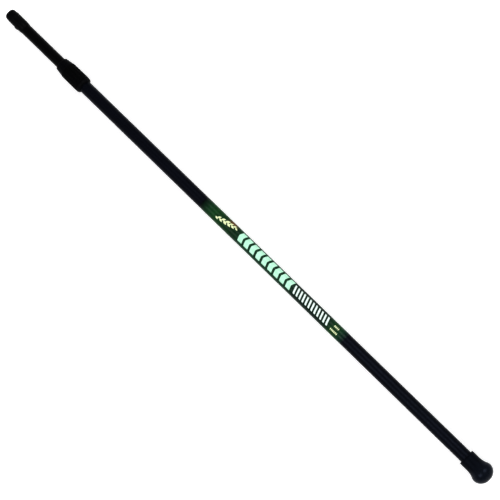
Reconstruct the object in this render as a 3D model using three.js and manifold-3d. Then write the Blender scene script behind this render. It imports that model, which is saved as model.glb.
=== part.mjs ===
// Two-part telescopic handle for a leaf skimmer net, lying along X on a floor at Z = 0.
// Millimetres, +Z up. +X points to the tip that a net clips on to, and the snap button faces +Y.
// X = 0 is halfway along the handle as it is stored, with the inner tube part way out.

import * as THREE from "three";
import { mergeVertices } from "three/addons/utils/BufferGeometryUtils.js";
import Module from "manifold-3d";

const wasm = await Module();
wasm.setup();

// ---------------------------------------------------------------- driving dimensions

// The whole handle
const overallLength = 1126;
const tipEnd = overallLength / 2;
const footEnd = -overallLength / 2;
const facets = 32; // around every turned piece
const smallFacets = 16; // around rivets and their holes

// Gaps between neighbouring pieces
const fixedGap = 0.15; // fixed pieces, radially
const slidingGap = 0.1; // sliding pieces, radially
const turningGap = 0.2; // pieces that turn against each other, radially
const endGap = 0.3; // end to end
const toolReach = 3; // how far a cutting tool stands clear of the wall it cuts
const chamfer = 1; // where a moulded plug or bush leads into its bore

// Tubes
const outerTubeRadius = 11;
const outerTubeBore = 10;
const outerTubeStart = footEnd + 14;
const outerTubeEnd = 396.5;
const innerTubeRadius = 9.5;
const innerTubeBore = 8.6;

// Ball foot
const ballRadius = 18.85;
const ballHalfLength = 16.8;
const ballCentre = 16.3; // from the foot's end, where the ball is cut flat
const neckRadius = 14.35;
const neckStart = 36; // from the foot's end
const footLength = 51.5;
const flareRadius = 33; // the hollow curve between ball and neck
const lipRounding = 1.2;
const plugCapLength = 2; // the part of the foot plug that covers the tube's end

// Label band
const labelStart = -241;
const labelEnd = 87;
const labelThickness = 0.18;

// Twist lock
const collarStart = 374.6; // rear of the threaded sleeve's shoulder
const shoulderEnd = 380.8;
const shoulderRadius = 14.9;
const threadStart = 384.5;
const threadRoot = 12.25;
const threadCrest = 12.9;
const threadPitch = 3;
const sleeveEnd = 401.3;
const sleeveLipRadius = 9.65; // the guide bush stops against this lip
const nutStart = 381.1;
const nutEnd = 432;
const nutRadius = 14.1;
const nutBore = 13.1;
const nutBeadLength = 2; // the snap-over bead that keeps the nut on the sleeve
const nutStep = 416.9; // the grip ends and the nose cone starts here
const coneStart = 406.9;
const coneEnd = 427.7;
const coneStartRadius = 12.9;
const coneEndRadius = 11.3;
const gripRadius = 15;
const fluteDepth = 0.4;
const wiperRadius = 10.75;
const wiperStart = 429.3;
const collarEnd = 433;

// Split collet
const colletBaseEnd = 406.4;
const colletBaseRadius = 12.6;
const colletSlotWidth = 2;
const colletSlotStart = 408.7;
const keyCount = 3;
const keyLength = 3;
const keyWidth = 3.4;
const keyInner = 10.9;
const keyOuter = 12.1;

// Lower end of the inner tube
const slideOut = 674; // how far the inner tube still slides out
const bushLength = 60;
const bushBore = 6.7;
const bushSlitWidth = 1.5;
const plugFlangeLength = 4;
const plugSpigotLength = 22;
const plugRadius = 9.4;
const plugPinRadius = 1.5;

// Tip sleeve
const tipRadius = 10.6;
const tipNeckRadius = 9.9; // behind the rounded end
const tipFlatRadius = 4.8;
const tipRoundLength = 4.6;
const tipFullAt = 12.7; // from the tip, where the full radius is reached
const tipTaperAt = 33.5;
const tipLength = 42;
const tipEndWall = 10;
const tipRearRadius = 9.85;

// Snap button and its leaf spring
const buttonFromTip = 28.3;
const buttonRadius = 3.8;
const buttonTop = 11.8;
const buttonHoleRadius = 4.4;
const springThickness = 0.7;
const springWidth = 6;
const springHinge = tipEnd - 77.5;
const springPadStart = tipEnd - 38.8;
const springPadEnd = tipEnd - 20.8;
const springBendRadius = 2;
const movingPadOffset = 7.2;
const fixedPadOffset = 7.5;

// Rivets
const rivetRadius = 1.5;
const rivetHoleRadius = 1.8;
const sleeveRivetAt = 390;
const tipRivetAt = tipEnd - 31;

// ---------------------------------------------------------------- materials

function finish(color, roughness, metalness) {
  return new THREE.MeshStandardMaterial({ color, roughness, metalness });
}

const blackCoat = finish(0x14141e, 0.4, 0.3);
const thinTubeCoat = finish(0x0c0d12, 0.35, 0.3);
const blackPlastic = finish(0x15161a, 0.5, 0);
const gripRubber = finish(0x121317, 0.8, 0);
const footRubber = finish(0x1b2233, 0.45, 0);
const labelGreen = finish(0x14442a, 0.4, 0);
const paleNylon = finish(0xb9b6aa, 0.5, 0);
const aluminium = finish(0xa8abb0, 0.4, 1);
const springSteel = finish(0x8d9196, 0.35, 1);

// ---------------------------------------------------------------- shape helpers

// Turns a section, a list of [x, radius] points, about the handle's axis.
// The points run towards +X on the outside and back along the bore.
function turned(section) {
  const points = section.map(([x, radius]) => new THREE.Vector2(radius, x));
  return new THREE.LatheGeometry(points, facets).rotateZ(-Math.PI / 2);
}

// A turned piece with a hole right through. Both lists run towards +X.
function turnedRing(outer, bore) {
  return turned([...outer, ...bore.toReversed(), outer[0]]);
}

// Points of a quarter ellipse from [x0, r0] to [x1, r1]. It leaves the first point along the axis.
function quarterEllipse([x0, r0], [x1, r1], steps) {
  const points = [];
  for (let i = 0; i <= steps; i += 1) {
    const angle = (i / steps) * (Math.PI / 2);
    points.push([x0 + (x1 - x0) * Math.sin(angle), r1 + (r0 - r1) * Math.cos(angle)]);
  }
  return points;
}

// A round peg that points away from the axis. Angle 0 faces +Y and a quarter turn faces +Z.
function radialPeg(x, angle, radius, inner, outer) {
  return new THREE.CylinderGeometry(radius, radius, outer - inner, smallFacets)
    .translate(0, (inner + outer) / 2, 0)
    .rotateX(angle)
    .translate(x, 0, 0);
}

// A box from one corner to the opposite one
function boxBetween([x0, y0, z0], [x1, y1, z1]) {
  return new THREE.BoxGeometry(x1 - x0, y1 - y0, z1 - z0)
    .translate((x0 + x1) / 2, (y0 + y1) / 2, (z0 + z1) / 2);
}

// A strip of sheet that follows a path of Vector2 points in the XY plane
function bentStrip(path, thickness, width) {
  const sides = [[], []];
  path.forEach((point, i) => {
    const before = path[Math.max(i - 1, 0)];
    const after = path[Math.min(i + 1, path.length - 1)];
    const along = after.clone().sub(before).normalize();
    const across = new THREE.Vector2(-along.y, along.x).multiplyScalar(thickness / 2);
    sides[0].push(point.clone().add(across));
    sides[1].push(point.clone().sub(across));
  });
  const outline = new THREE.Shape([...sides[0], ...sides[1].toReversed()]);
  return new THREE.ExtrudeGeometry(outline, { depth: width, bevelEnabled: false })
    .translate(0, 0, -width / 2);
}

function toSolid(geometry) {
  const bare = geometry.clone();
  bare.deleteAttribute("normal");
  bare.deleteAttribute("uv");
  const merged = mergeVertices(bare, 1e-4);
  const index = merged.index.array;
  const kept = [];
  for (let i = 0; i < index.length; i += 3) {
    const [a, b, c] = index.subarray(i, i + 3);
    if (a !== b && b !== c && c !== a) {
      kept.push(a, b, c);
    }
  }
  return new wasm.Manifold(new wasm.Mesh({
    numProp: 3,
    vertProperties: Float32Array.from(merged.attributes.position.array),
    triVerts: Uint32Array.from(kept),
  }));
}

function fromSolid(solid) {
  const { vertProperties, triVerts } = solid.getMesh();
  const geometry = new THREE.BufferGeometry();
  geometry.setAttribute("position", new THREE.BufferAttribute(vertProperties, 3));
  geometry.setIndex(new THREE.BufferAttribute(triVerts, 1));
  geometry.computeVertexNormals();
  return geometry;
}

function cut(geometry, tools) {
  return fromSolid(tools.reduce((solid, tool) => solid.subtract(toSolid(tool)), toSolid(geometry)));
}

function join(geometry, additions) {
  return fromSolid(additions.reduce((solid, extra) => solid.add(toSolid(extra)), toSolid(geometry)));
}

const handle = new THREE.Group();
handle.position.z = ballRadius;

function addPiece(name, geometry, material) {
  const mesh = new THREE.Mesh(geometry, material);
  mesh.name = name;
  handle.add(mesh);
}

// ---------------------------------------------------------------- main tube, plug, foot and label

function outerTube() {
  const tube = turnedRing(
    [[outerTubeStart, outerTubeRadius], [outerTubeEnd, outerTubeRadius]],
    [[outerTubeStart, outerTubeBore], [outerTubeEnd, outerTubeBore]],
  );
  return cut(tube, sleeveRivetHoles());
}

function footPlug() {
  const spigotLength = 15;
  const spigotRadius = outerTubeBore - fixedGap;
  const cupRadius = 8;
  const flangeEnd = outerTubeStart - fixedGap;
  const flangeStart = flangeEnd - plugCapLength;
  const spigotEnd = flangeEnd + spigotLength;
  return turned([
    [flangeStart, 0],
    [flangeStart, outerTubeRadius],
    [flangeEnd, outerTubeRadius],
    [flangeEnd, spigotRadius],
    [spigotEnd, spigotRadius],
    [spigotEnd, cupRadius],
    [flangeEnd, cupRadius],
    [flangeEnd, 0],
  ]);
}

// Points on the ball at even steps of angle, between two distances from the foot's end
function ballArc(from, to, steps) {
  const angleAt = (distance) => Math.asin((distance - ballCentre) / ballHalfLength);
  const points = [];
  for (let i = 0; i <= steps; i += 1) {
    const angle = angleAt(from) + (angleAt(to) - angleAt(from)) * (i / steps);
    points.push([
      footEnd + ballCentre + ballHalfLength * Math.sin(angle),
      ballRadius * Math.cos(angle),
    ]);
  }
  return points;
}

// The hollow curve that runs from the ball down to the neck
function flareArc(from, steps) {
  const points = [];
  for (let i = 1; i <= steps; i += 1) {
    const fromNeck = (neckStart - from) * (1 - i / steps);
    const rise = flareRadius - Math.sqrt(flareRadius ** 2 - fromNeck ** 2);
    points.push([footEnd + neckStart - fromNeck, neckRadius + rise]);
  }
  return points;
}

function ballFoot() {
  const flareStart = 20.5; // from the foot's end, where the ball meets the flare
  const socketBottom = outerTubeStart - fixedGap - plugCapLength - endGap;
  const socketRadius = outerTubeRadius + fixedGap;
  const mouth = footEnd + footLength;
  return turned([
    [footEnd, 0],
    ...ballArc(0, ballCentre, 8),
    ...ballArc(ballCentre, flareStart, 2).slice(1),
    ...flareArc(flareStart, 5),
    ...quarterEllipse([mouth - lipRounding, neckRadius], [mouth, neckRadius - lipRounding], 3),
    [mouth, socketRadius],
    [socketBottom, socketRadius],
    [socketBottom, 0],
  ]);
}

function labelSleeve() {
  const bore = outerTubeRadius + fixedGap;
  const radius = bore + labelThickness;
  return turnedRing(
    [[labelStart, radius], [labelEnd, radius]],
    [[labelStart, bore], [labelEnd, bore]],
  );
}

addPiece("outer_tube", outerTube(), blackCoat);
addPiece("foot_plug", footPlug(), paleNylon);
addPiece("ball_foot", ballFoot(), footRubber);
addPiece("label_sleeve", labelSleeve(), labelGreen);

// ---------------------------------------------------------------- twist lock

function sleeveRivetHoles() {
  const inner = outerTubeBore - toolReach;
  const outer = threadCrest + toolReach;
  return [-1, 1].map((side) => (
    radialPeg(sleeveRivetAt, side * Math.PI / 2, rivetHoleRadius, inner, outer)
  ));
}

function sleeveRivet(side) {
  const tailRecess = 0.05; // the guide bush slides past the rivet's tail
  const inner = outerTubeBore + tailRecess;
  const outer = threadRoot - fixedGap;
  return radialPeg(sleeveRivetAt, side * Math.PI / 2, rivetRadius, inner, outer);
}

// The thread's ridges, as plain rings with sloping flanks
function threadRidges() {
  const points = [];
  const flank = 0.5;
  const crestLength = 1;
  for (let x = threadStart; x + threadPitch < sleeveEnd; x += threadPitch) {
    points.push(
      [x, threadRoot],
      [x + flank, threadCrest],
      [x + flank + crestLength, threadCrest],
      [x + 2 * flank + crestLength, threadRoot],
    );
  }
  return points;
}

// Boxes that stand around the axis, one for each of the collet's keys
function keyBoxes(start, end, inner, outer, width) {
  return Array.from({ length: keyCount }, (_, i) => (
    boxBetween([start, inner, -width / 2], [end, outer, width / 2])
      .rotateX((i + 0.5) * 2 * Math.PI / keyCount)
  ));
}

function threadedSleeve() {
  const rearRadius = 12.6;
  const socketRadius = outerTubeRadius + fixedGap;
  const lipStart = outerTubeEnd + fixedGap;
  const keywayDepth = keyLength + endGap;
  const keyClearance = endGap;
  const shoulder = quarterEllipse([shoulderEnd, shoulderRadius], [collarStart, rearRadius], 5);
  const body = turnedRing(
    [...shoulder.toReversed(), [shoulderEnd, threadRoot], ...threadRidges(), [sleeveEnd, threadRoot]],
    [
      [collarStart, socketRadius],
      [lipStart, socketRadius],
      [lipStart, sleeveLipRadius],
      [sleeveEnd, sleeveLipRadius],
    ],
  );
  const keyways = keyBoxes(
    sleeveEnd - keywayDepth, sleeveEnd + toolReach,
    keyInner - keyClearance, threadCrest + toolReach,
    keyWidth + 2 * keyClearance,
  );
  return cut(body, [...sleeveRivetHoles(), ...keyways]);
}

function splitCollet() {
  const start = sleeveEnd + endGap;
  const coneGap = 0.25;
  const end = coneEnd - 2 * endGap;
  const bore = innerTubeRadius + slidingGap;
  const body = turnedRing(
    [[start, colletBaseRadius], [colletBaseEnd, colletBaseRadius], [end, coneEndRadius - coneGap]],
    [[start, bore], [end, bore]],
  );
  const keyOverlap = 1; // how far each key is sunk into the collet's base
  const keys = keyBoxes(start - keyLength, start + keyOverlap, keyInner, keyOuter, keyWidth);
  const reach = colletBaseRadius + toolReach;
  const half = colletSlotWidth / 2;
  const slots = [
    boxBetween([colletSlotStart, -reach, -half], [end + toolReach, reach, half]),
    boxBetween([colletSlotStart, -half, -reach], [end + toolReach, half, reach]),
  ];
  return cut(join(body, keys), slots);
}

function lockNut() {
  const noseRounding = 1.9;
  const noseRadius = 12.15;
  const mouthRadius = 11.5;
  const beadRadius = threadRoot + fixedGap;
  const beadEnd = nutStart + nutBeadLength;
  const recess = wiperRadius + fixedGap;
  const coneLeadIn = 1;
  const webRadius = innerTubeRadius + turningGap + fixedGap;
  const webEnd = wiperStart - endGap;
  return turnedRing(
    [
      [nutStart, nutRadius],
      [nutStep, nutRadius],
      ...quarterEllipse([nutEnd - noseRounding, noseRadius], [nutEnd, mouthRadius], 3),
    ],
    [
      [nutStart, beadRadius],
      [beadEnd, beadRadius],
      [beadEnd, nutBore],
      [coneStart - coneLeadIn, nutBore],
      [coneStart, coneStartRadius],
      [coneEnd, coneEndRadius],
      [coneEnd, webRadius],
      [webEnd, webRadius],
      [webEnd, recess],
      [nutEnd, recess],
    ],
  );
}

// Every other facet edge of the grip is pulled in, which leaves shallow flutes between the ridges
function nutGrip() {
  const start = nutStart + fixedGap;
  const end = nutStep - fixedGap;
  const bore = nutRadius + fixedGap;
  const rearBevelLength = 2;
  const rearBevelDrop = 0.3;
  const plainEnd = 3; // the ends beyond the flutes
  const frontDrop = 0.25; // the grip narrows a little towards the nose
  const frontEdge = 0.5;
  const frontLip = 0.2;
  const fluteStart = start + plainEnd;
  const fluteEnd = end - plainEnd;
  const geometry = turnedRing(
    [
      [start, gripRadius - rearBevelDrop],
      [start + rearBevelLength, gripRadius],
      [fluteStart, gripRadius],
      [fluteEnd, gripRadius - frontDrop],
      [end - frontEdge, gripRadius - frontEdge],
      [end, bore + frontLip],
    ],
    [[start, bore], [end, bore]],
  );
  const margin = 0.01; // the vertices on a flute's own ends count as in it
  const outsideFrom = (bore + gripRadius) / 2;
  const position = geometry.attributes.position;
  for (let i = 0; i < position.count; i += 1) {
    const [x, y, z] = [position.getX(i), position.getY(i), position.getZ(i)];
    const radius = Math.hypot(y, z);
    const facet = Math.round(Math.atan2(z, y) / (2 * Math.PI / facets));
    const inFlute = x >= fluteStart - margin && x <= fluteEnd + margin;
    if (inFlute && radius > outsideFrom && facet % 2 !== 0) {
      const scale = (radius - fluteDepth) / radius;
      position.setXYZ(i, x, y * scale, z * scale);
    }
  }
  return geometry;
}

function wiperRing() {
  const bore = innerTubeRadius + slidingGap;
  const frontStart = nutEnd + endGap;
  const bevel = 0.4;
  const lipLength = 1; // only this much of the bore touches the tube
  return turnedRing(
    [[wiperStart, wiperRadius], [frontStart, wiperRadius], [collarEnd, wiperRadius - bevel]],
    [[wiperStart, bore + bevel], [collarEnd - lipLength, bore], [collarEnd, bore]],
  );
}

addPiece("threaded_sleeve", threadedSleeve(), blackPlastic);
addPiece("sleeve_rivet_a", sleeveRivet(1), aluminium);
addPiece("sleeve_rivet_b", sleeveRivet(-1), aluminium);
addPiece("split_collet", splitCollet(), paleNylon);
addPiece("lock_nut", lockNut(), blackPlastic);
addPiece("nut_grip", nutGrip(), gripRubber);
addPiece("wiper_ring", wiperRing(), gripRubber);

// ---------------------------------------------------------------- inner tube and its lower end

const bushStopGap = 1; // from the bush to the lip that stops it, with the handle at full length
const bushEnd = outerTubeEnd + fixedGap - slideOut - bushStopGap;
const bushStart = bushEnd - bushLength;
const innerTubeStart = bushEnd + endGap + plugFlangeLength + fixedGap;
const innerTubeEnd = tipEnd - tipEndWall - endGap;
const plugPinAt = innerTubeStart + plugSpigotLength / 2;

function crossPin(radius, halfLength) {
  return radialPeg(plugPinAt, Math.PI / 2, radius, -halfLength, halfLength);
}

function crossPinHole() {
  return crossPin(rivetHoleRadius, innerTubeRadius + toolReach);
}

function buttonHole() {
  const inner = innerTubeBore - toolReach;
  const outer = tipRadius + toolReach;
  return radialPeg(tipEnd - buttonFromTip, 0, buttonHoleRadius, inner, outer);
}

function tipRivetHole() {
  const inner = innerTubeBore - toolReach;
  const outer = tipRadius + toolReach;
  return radialPeg(tipRivetAt, -Math.PI / 2, rivetHoleRadius, inner, outer);
}

function innerTube() {
  const tube = turnedRing(
    [[innerTubeStart, innerTubeRadius], [innerTubeEnd, innerTubeRadius]],
    [[innerTubeStart, innerTubeBore], [innerTubeEnd, innerTubeBore]],
  );
  return cut(tube, [buttonHole(), tipRivetHole(), crossPinHole()]);
}

function endPlug() {
  const flangeEnd = innerTubeStart - fixedGap;
  const journalEnd = flangeEnd - plugFlangeLength;
  const journalStart = bushStart - endGap;
  const headStart = journalStart - plugFlangeLength;
  const journalRadius = bushBore - turningGap;
  const spigotRadius = innerTubeBore - fixedGap;
  const spigotEnd = innerTubeStart + plugSpigotLength;
  const body = turned([
    [headStart, 0],
    [headStart, plugRadius - chamfer],
    [headStart + chamfer, plugRadius],
    [journalStart, plugRadius],
    [journalStart, journalRadius],
    [journalEnd, journalRadius],
    [journalEnd, plugRadius],
    [flangeEnd, plugRadius],
    [flangeEnd, spigotRadius],
    [spigotEnd - chamfer, spigotRadius],
    [spigotEnd, spigotRadius - chamfer],
    [spigotEnd, 0],
  ]);
  return cut(body, [crossPinHole()]);
}

function guideBush() {
  const radius = outerTubeBore - slidingGap;
  const rearDrop = 0.5;
  const frontDrop = 0.1; // small, because this face has to catch on the sleeve's lip
  const body = turnedRing(
    [
      [bushStart, radius - rearDrop],
      [bushStart + chamfer, radius],
      [bushEnd - chamfer, radius],
      [bushEnd, radius - frontDrop],
    ],
    [[bushStart, bushBore], [bushEnd, bushBore]],
  );
  const half = bushSlitWidth / 2;
  const slit = boxBetween(
    [bushStart - toolReach, 0, -half],
    [bushEnd + toolReach, radius + toolReach, half],
  );
  return cut(body, [slit]);
}

addPiece("inner_tube", innerTube(), thinTubeCoat);
addPiece("end_plug", endPlug(), blackPlastic);
addPiece("end_plug_pin", crossPin(plugPinRadius, plugRadius), aluminium);
addPiece("guide_bush", guideBush(), paleNylon);

// ---------------------------------------------------------------- tip sleeve and snap button

function tipSleeve() {
  const rear = tipEnd - tipLength;
  const socketRadius = innerTubeRadius + fixedGap;
  const socketEnd = tipEnd - tipEndWall;
  const body = turned([
    [rear, socketRadius],
    [rear, tipRearRadius],
    [tipEnd - tipTaperAt, tipRadius],
    [tipEnd - tipFullAt, tipRadius],
    ...quarterEllipse([tipEnd - tipRoundLength, tipNeckRadius], [tipEnd, tipFlatRadius], 5),
    [tipEnd, 0],
    [socketEnd, 0],
    [socketEnd, socketRadius],
    [rear, socketRadius],
  ]);
  return cut(body, [buttonHole(), tipRivetHole()]);
}

// A U bend joins two straight arms. Each arm spreads to a pad that runs along the tube's wall.
function springFixedLeg() {
  const bendSteps = 8;
  const path = [];
  for (let i = 0; i <= bendSteps; i += 1) {
    const angle = Math.PI / 2 + Math.PI * (i / bendSteps);
    path.push(new THREE.Vector2(
      springHinge + springBendRadius * Math.cos(angle),
      springBendRadius * Math.sin(angle),
    ));
  }
  path.push(
    new THREE.Vector2(springPadStart, -fixedPadOffset),
    new THREE.Vector2(springPadEnd, -fixedPadOffset),
  );
  return bentStrip(path, springThickness, springWidth);
}

function springMovingLeg() {
  const path = [
    new THREE.Vector2(springHinge + endGap, springBendRadius),
    new THREE.Vector2(springPadStart, movingPadOffset),
    new THREE.Vector2(springPadEnd, movingPadOffset),
  ];
  const shankHole = radialPeg(
    tipEnd - buttonFromTip, 0, rivetHoleRadius,
    movingPadOffset - toolReach, movingPadOffset + toolReach,
  );
  return cut(bentStrip(path, springThickness, springWidth), [shankHole]);
}

// The button's head, the shank through the spring and the peened tail behind it
function snapButton() {
  const padTop = movingPadOffset + springThickness / 2;
  const padBottom = movingPadOffset - springThickness / 2;
  const headBottom = padTop + fixedGap;
  const tailTop = padBottom - fixedGap;
  const tailHeight = 0.8;
  const tailBottom = tailTop - tailHeight;
  const tailRadius = 2.3;
  const domeHeight = 1.2;
  const domeSteps = 5;
  const points = [
    [0, tailBottom],
    [tailRadius, tailBottom],
    [tailRadius, tailTop],
    [rivetRadius, tailTop],
    [rivetRadius, headBottom],
    [buttonRadius, headBottom],
  ];
  for (let i = 0; i <= domeSteps; i += 1) {
    const angle = (i / domeSteps) * (Math.PI / 2);
    points.push([
      buttonRadius * Math.cos(angle),
      buttonTop - domeHeight * (1 - Math.sin(angle)),
    ]);
  }
  const profile = points.map(([radius, y]) => new THREE.Vector2(radius, y));
  return new THREE.LatheGeometry(profile, smallFacets).translate(tipEnd - buttonFromTip, 0, 0);
}

function tipRivet() {
  const tailHeight = 0.6; // inside the tube
  const headRecess = 0.1; // below the sleeve's surface
  const inner = innerTubeBore - tailHeight;
  const outer = tipRadius - headRecess;
  return radialPeg(tipRivetAt, -Math.PI / 2, rivetRadius, inner, outer);
}

addPiece("tip_sleeve", tipSleeve(), blackPlastic);
addPiece("tip_rivet", tipRivet(), aluminium);
addPiece("spring_fixed_leg", springFixedLeg(), springSteel);
addPiece("spring_moving_leg", springMovingLeg(), springSteel);
addPiece("snap_button", snapButton(), blackPlastic);

export default handle;
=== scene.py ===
"""Looks for a two-part telescopic handle of a leaf skimmer net.

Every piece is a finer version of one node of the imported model, or an extra on its label: the
film's overlap and the printed marks. Lengths are in millimetres until a mesh is made. x runs
along the handle towards the tip, and a radius is measured from the handle's axis.
"""

import math

import bmesh
import bpy
from mathutils import Matrix, Vector


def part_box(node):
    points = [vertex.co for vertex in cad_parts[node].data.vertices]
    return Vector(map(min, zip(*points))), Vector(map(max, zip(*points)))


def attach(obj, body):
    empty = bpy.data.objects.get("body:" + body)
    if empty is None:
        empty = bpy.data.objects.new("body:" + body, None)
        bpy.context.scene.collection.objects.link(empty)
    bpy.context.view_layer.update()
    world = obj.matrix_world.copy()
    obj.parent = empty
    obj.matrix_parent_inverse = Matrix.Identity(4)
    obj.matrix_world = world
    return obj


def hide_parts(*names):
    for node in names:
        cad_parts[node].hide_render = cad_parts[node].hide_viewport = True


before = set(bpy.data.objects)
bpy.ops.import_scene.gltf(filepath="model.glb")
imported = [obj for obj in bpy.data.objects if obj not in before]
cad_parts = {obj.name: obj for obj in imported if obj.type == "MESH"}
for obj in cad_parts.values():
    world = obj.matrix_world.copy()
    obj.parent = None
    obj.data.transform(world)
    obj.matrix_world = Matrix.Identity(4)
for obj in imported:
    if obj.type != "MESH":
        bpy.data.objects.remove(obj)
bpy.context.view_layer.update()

# ---------------------------------------------------------------- dimensions, in mm

MM = 0.001
SEGMENTS = 96  # around a turned piece
FINE_SEGMENTS = 192  # around a piece with flutes or a thread
SMALL_SEGMENTS = 40  # around a rivet, a pin or the button
SMOOTH_BELOW = 32  # degrees between two faces, below which their edge is smooth
TOOL_REACH = 3.0  # how far a cutting tool stands clear of what it cuts
CRISP = 0.2  # the usual rounding of a sharper edge
SOFT = 0.3  # the usual rounding of a blunter edge

OUTER_BORE = 10.0
INNER_BORE = 8.6
FIXED_GAP = 0.15  # between fixed pieces
SLIDING_GAP = 0.1  # between sliding pieces
TURNING_GAP = 0.2  # between pieces that turn against each other
END_GAP = 0.3  # between pieces end to end
FOOT_GAP = 0.06  # between the foot's socket and the main tube
TIP_GAP = 0.05  # between the tip's socket and the inner tube
GRIP_GAP = 0.02  # between the grip and the nut

# Ball foot, measured from its flat end
BALL_HALF_LENGTH = 16.8
BALL_CENTRE = 16.3
FLARE_START = 20.5
NECK_START = 36.0
NECK_RADIUS = 14.35
FLARE_RADIUS = 33.0
PLUG_CAP = 2.0
PLUG_CUP_RADIUS = 8.0
MOUTH_ROUNDING = 1.2
GROOVE_FROM_MOUTH = 2.6  # a fine groove round the neck
GROOVE_WIDTH = 1.0
GROOVE_SLOPE = 0.3
GROOVE_DEPTH = 0.35

# Threaded sleeve, measured from its rear
SHOULDER_LENGTH = 6.2
SHOULDER_RADIUS = 14.9
REAR_RADIUS = 12.6
THREAD_FROM_REAR = 9.9
THREAD_ROOT = 12.25
THREAD_CREST = 12.9
THREAD_PITCH = 3.0
THREAD_STEP = 0.2  # between the mesh's rings along the thread
THREAD_RUNOUT = 0.8  # the plain end in front of the thread
THREAD_FADE_IN = 1.5
THREAD_FADE_OUT = 1.0
LIP_RADIUS = 9.65
KEYS = 3
KEY_LENGTH = 3.0
KEY_INNER = 10.9
KEY_OUTER = 12.1
KEY_WIDTH = 3.4
KEY_OVERLAP = 1.0  # how far a key is sunk into the collet's base

# Collet, nut and grip. The cone inside the nut is measured from the nut's rear
COLLET_BASE_RADIUS = 12.6
COLLET_BASE_LENGTH = 4.8
COLLET_SOLID_LENGTH = 7.1  # the slots start in front of it
COLLET_SLOT_WIDTH = 2.0
CONE_TIP_RADIUS = 11.05
NUT_BORE = 13.1
CONE_FROM_REAR = 25.8
CONE_END_FROM_REAR = 46.6
CONE_START_RADIUS = 12.9
CONE_END_RADIUS = 11.3
NOSE_RADIUS = 12.15
NOSE_LENGTH = 1.9
MOUTH_RADIUS = 11.5
NUT_BEAD = 2.0  # length of the inward bead at its rear
FLUTES = 16
FLUTE_DEPTH = 0.4
FLUTE_MARGIN = 2.2  # the plain ends of the grip
FLUTE_FADE = 1.6
GRIP_EDGE = 0.6  # the flutes are only cut in what lies this near the grip's largest radius

# Lower end of the inner tube
BUSH_BORE = 6.7
PLUG_FLANGE = 4.0
BUSH_SLIT = 1.5

# Tip, measured back from its flat end
TIP_FLAT_RADIUS = 4.8
TIP_ROUND_LENGTH = 4.6
TIP_NECK_RADIUS = 9.9
TIP_FULL_AT = 12.7
TIP_TAPER_AT = 33.5
TIP_REAR_RADIUS = 9.85
TIP_WALL = 10.0
BUTTON_HOLE_RADIUS = 4.4
RIVET_RADIUS = 1.5
RIVET_HOLE_RADIUS = 1.8
RIVET_SUNK = 0.06  # how far a rivet's end stays below the main tube's bore
DOME_HEIGHT = 1.2  # of the snap button
TAIL_RADIUS = 2.3  # of the snap button's peened end

# V spring inside the tip, measured back from the tip's flat end
HINGE_FROM_TIP = 77.5
PAD_FROM_TIP = 38.8
PAD_END_FROM_TIP = 20.8
BEND_RADIUS = 2.0
PAD_BEND_REACH = 3.0  # how far from its corner a pad's bend starts
MOVING_PAD = 7.2
FIXED_PAD = 7.5
STRIP_THICKNESS = 0.7
STRIP_WIDTH = 6.0
STRIP_BEVEL = 0.3  # as a share of its thickness

# Label film, and the soft brown patch on it beside the sprig
FILM_RADIUS = 11.12
FILM_GAP = 0.01  # between the film and the tube
FILM_EDGE = 0.04  # rounding of the film's ends
LAP_WIDTH = 5.2
LAP_THICKNESS = 0.06
INK_THICKNESS = 0.02
PATCH_X = 24.0
PATCH_Y = -8.6
PATCH_HALF_LENGTH = 14.0
PATCH_HALF_WIDTH = 4.6

# Printed marks. An arc is a distance round the film from its top
ARROW_START = 3.75
ARROW_PITCH = 13.85
ARROW_COUNT = 9
ARROW_STROKE = 9.4
ARROW_SWEEP = 3.1
ARROW_HALF_HEIGHT = 9.2
ARROW_ARC = -2.25
SLANT_START = -124.6
SLANT_PITCH = 6.77
SLANT_COUNT = 12
SLANT_WIDTH = 3.5
SLANT_LEAN = 0.34
SLANT_ARCS = (-8.8, 5.8)
SPRIG_START = (54.45, 2.9)
SPRIG_END = (13.5, -7.0)
STEM_HALF = 0.5
LEAF_COUNT = 11
LEAF_LENGTH = 9.2
LEAF_WIDTH = 4.4
LEAF_SPREAD = 0.5
DIAMOND_ROWS = ((-214.8, 4, -4.2), (-212.3, 6, 4.2))  # first x, count, arc
DIAMOND_PITCH = 2.63
DIAMOND_HALF_LENGTH = 1.2
DIAMOND_HALF_HEIGHT = 2.4


def span(node):
    """A node's first and last x, and its largest radius, in mm."""
    low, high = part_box(node)
    return low[0] / MM, high[0] / MM, (high[1] - low[1]) / 2 / MM


def middle(node):
    """The x of a node's middle, in mm."""
    start, end, _ = span(node)
    return (start + end) / 2


AXIS_Z = sum(corner[2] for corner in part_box("outer_tube")) / 2 / MM
OUTER_RADIUS = span("outer_tube")[2]
INNER_RADIUS = span("inner_tube")[2]
TIP_RADIUS = span("tip_sleeve")[2]
FOOT_END = span("ball_foot")[0]
TIP_END = span("tip_sleeve")[1]
THREAD_START = span("threaded_sleeve")[0] + THREAD_FROM_REAR
NUT_STEP = span("nut_grip")[1] + FIXED_GAP
HINGE_X = TIP_END - HINGE_FROM_TIP
PAD_START = TIP_END - PAD_FROM_TIP
PAD_END = TIP_END - PAD_END_FROM_TIP

# ---------------------------------------------------------------- sections


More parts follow.
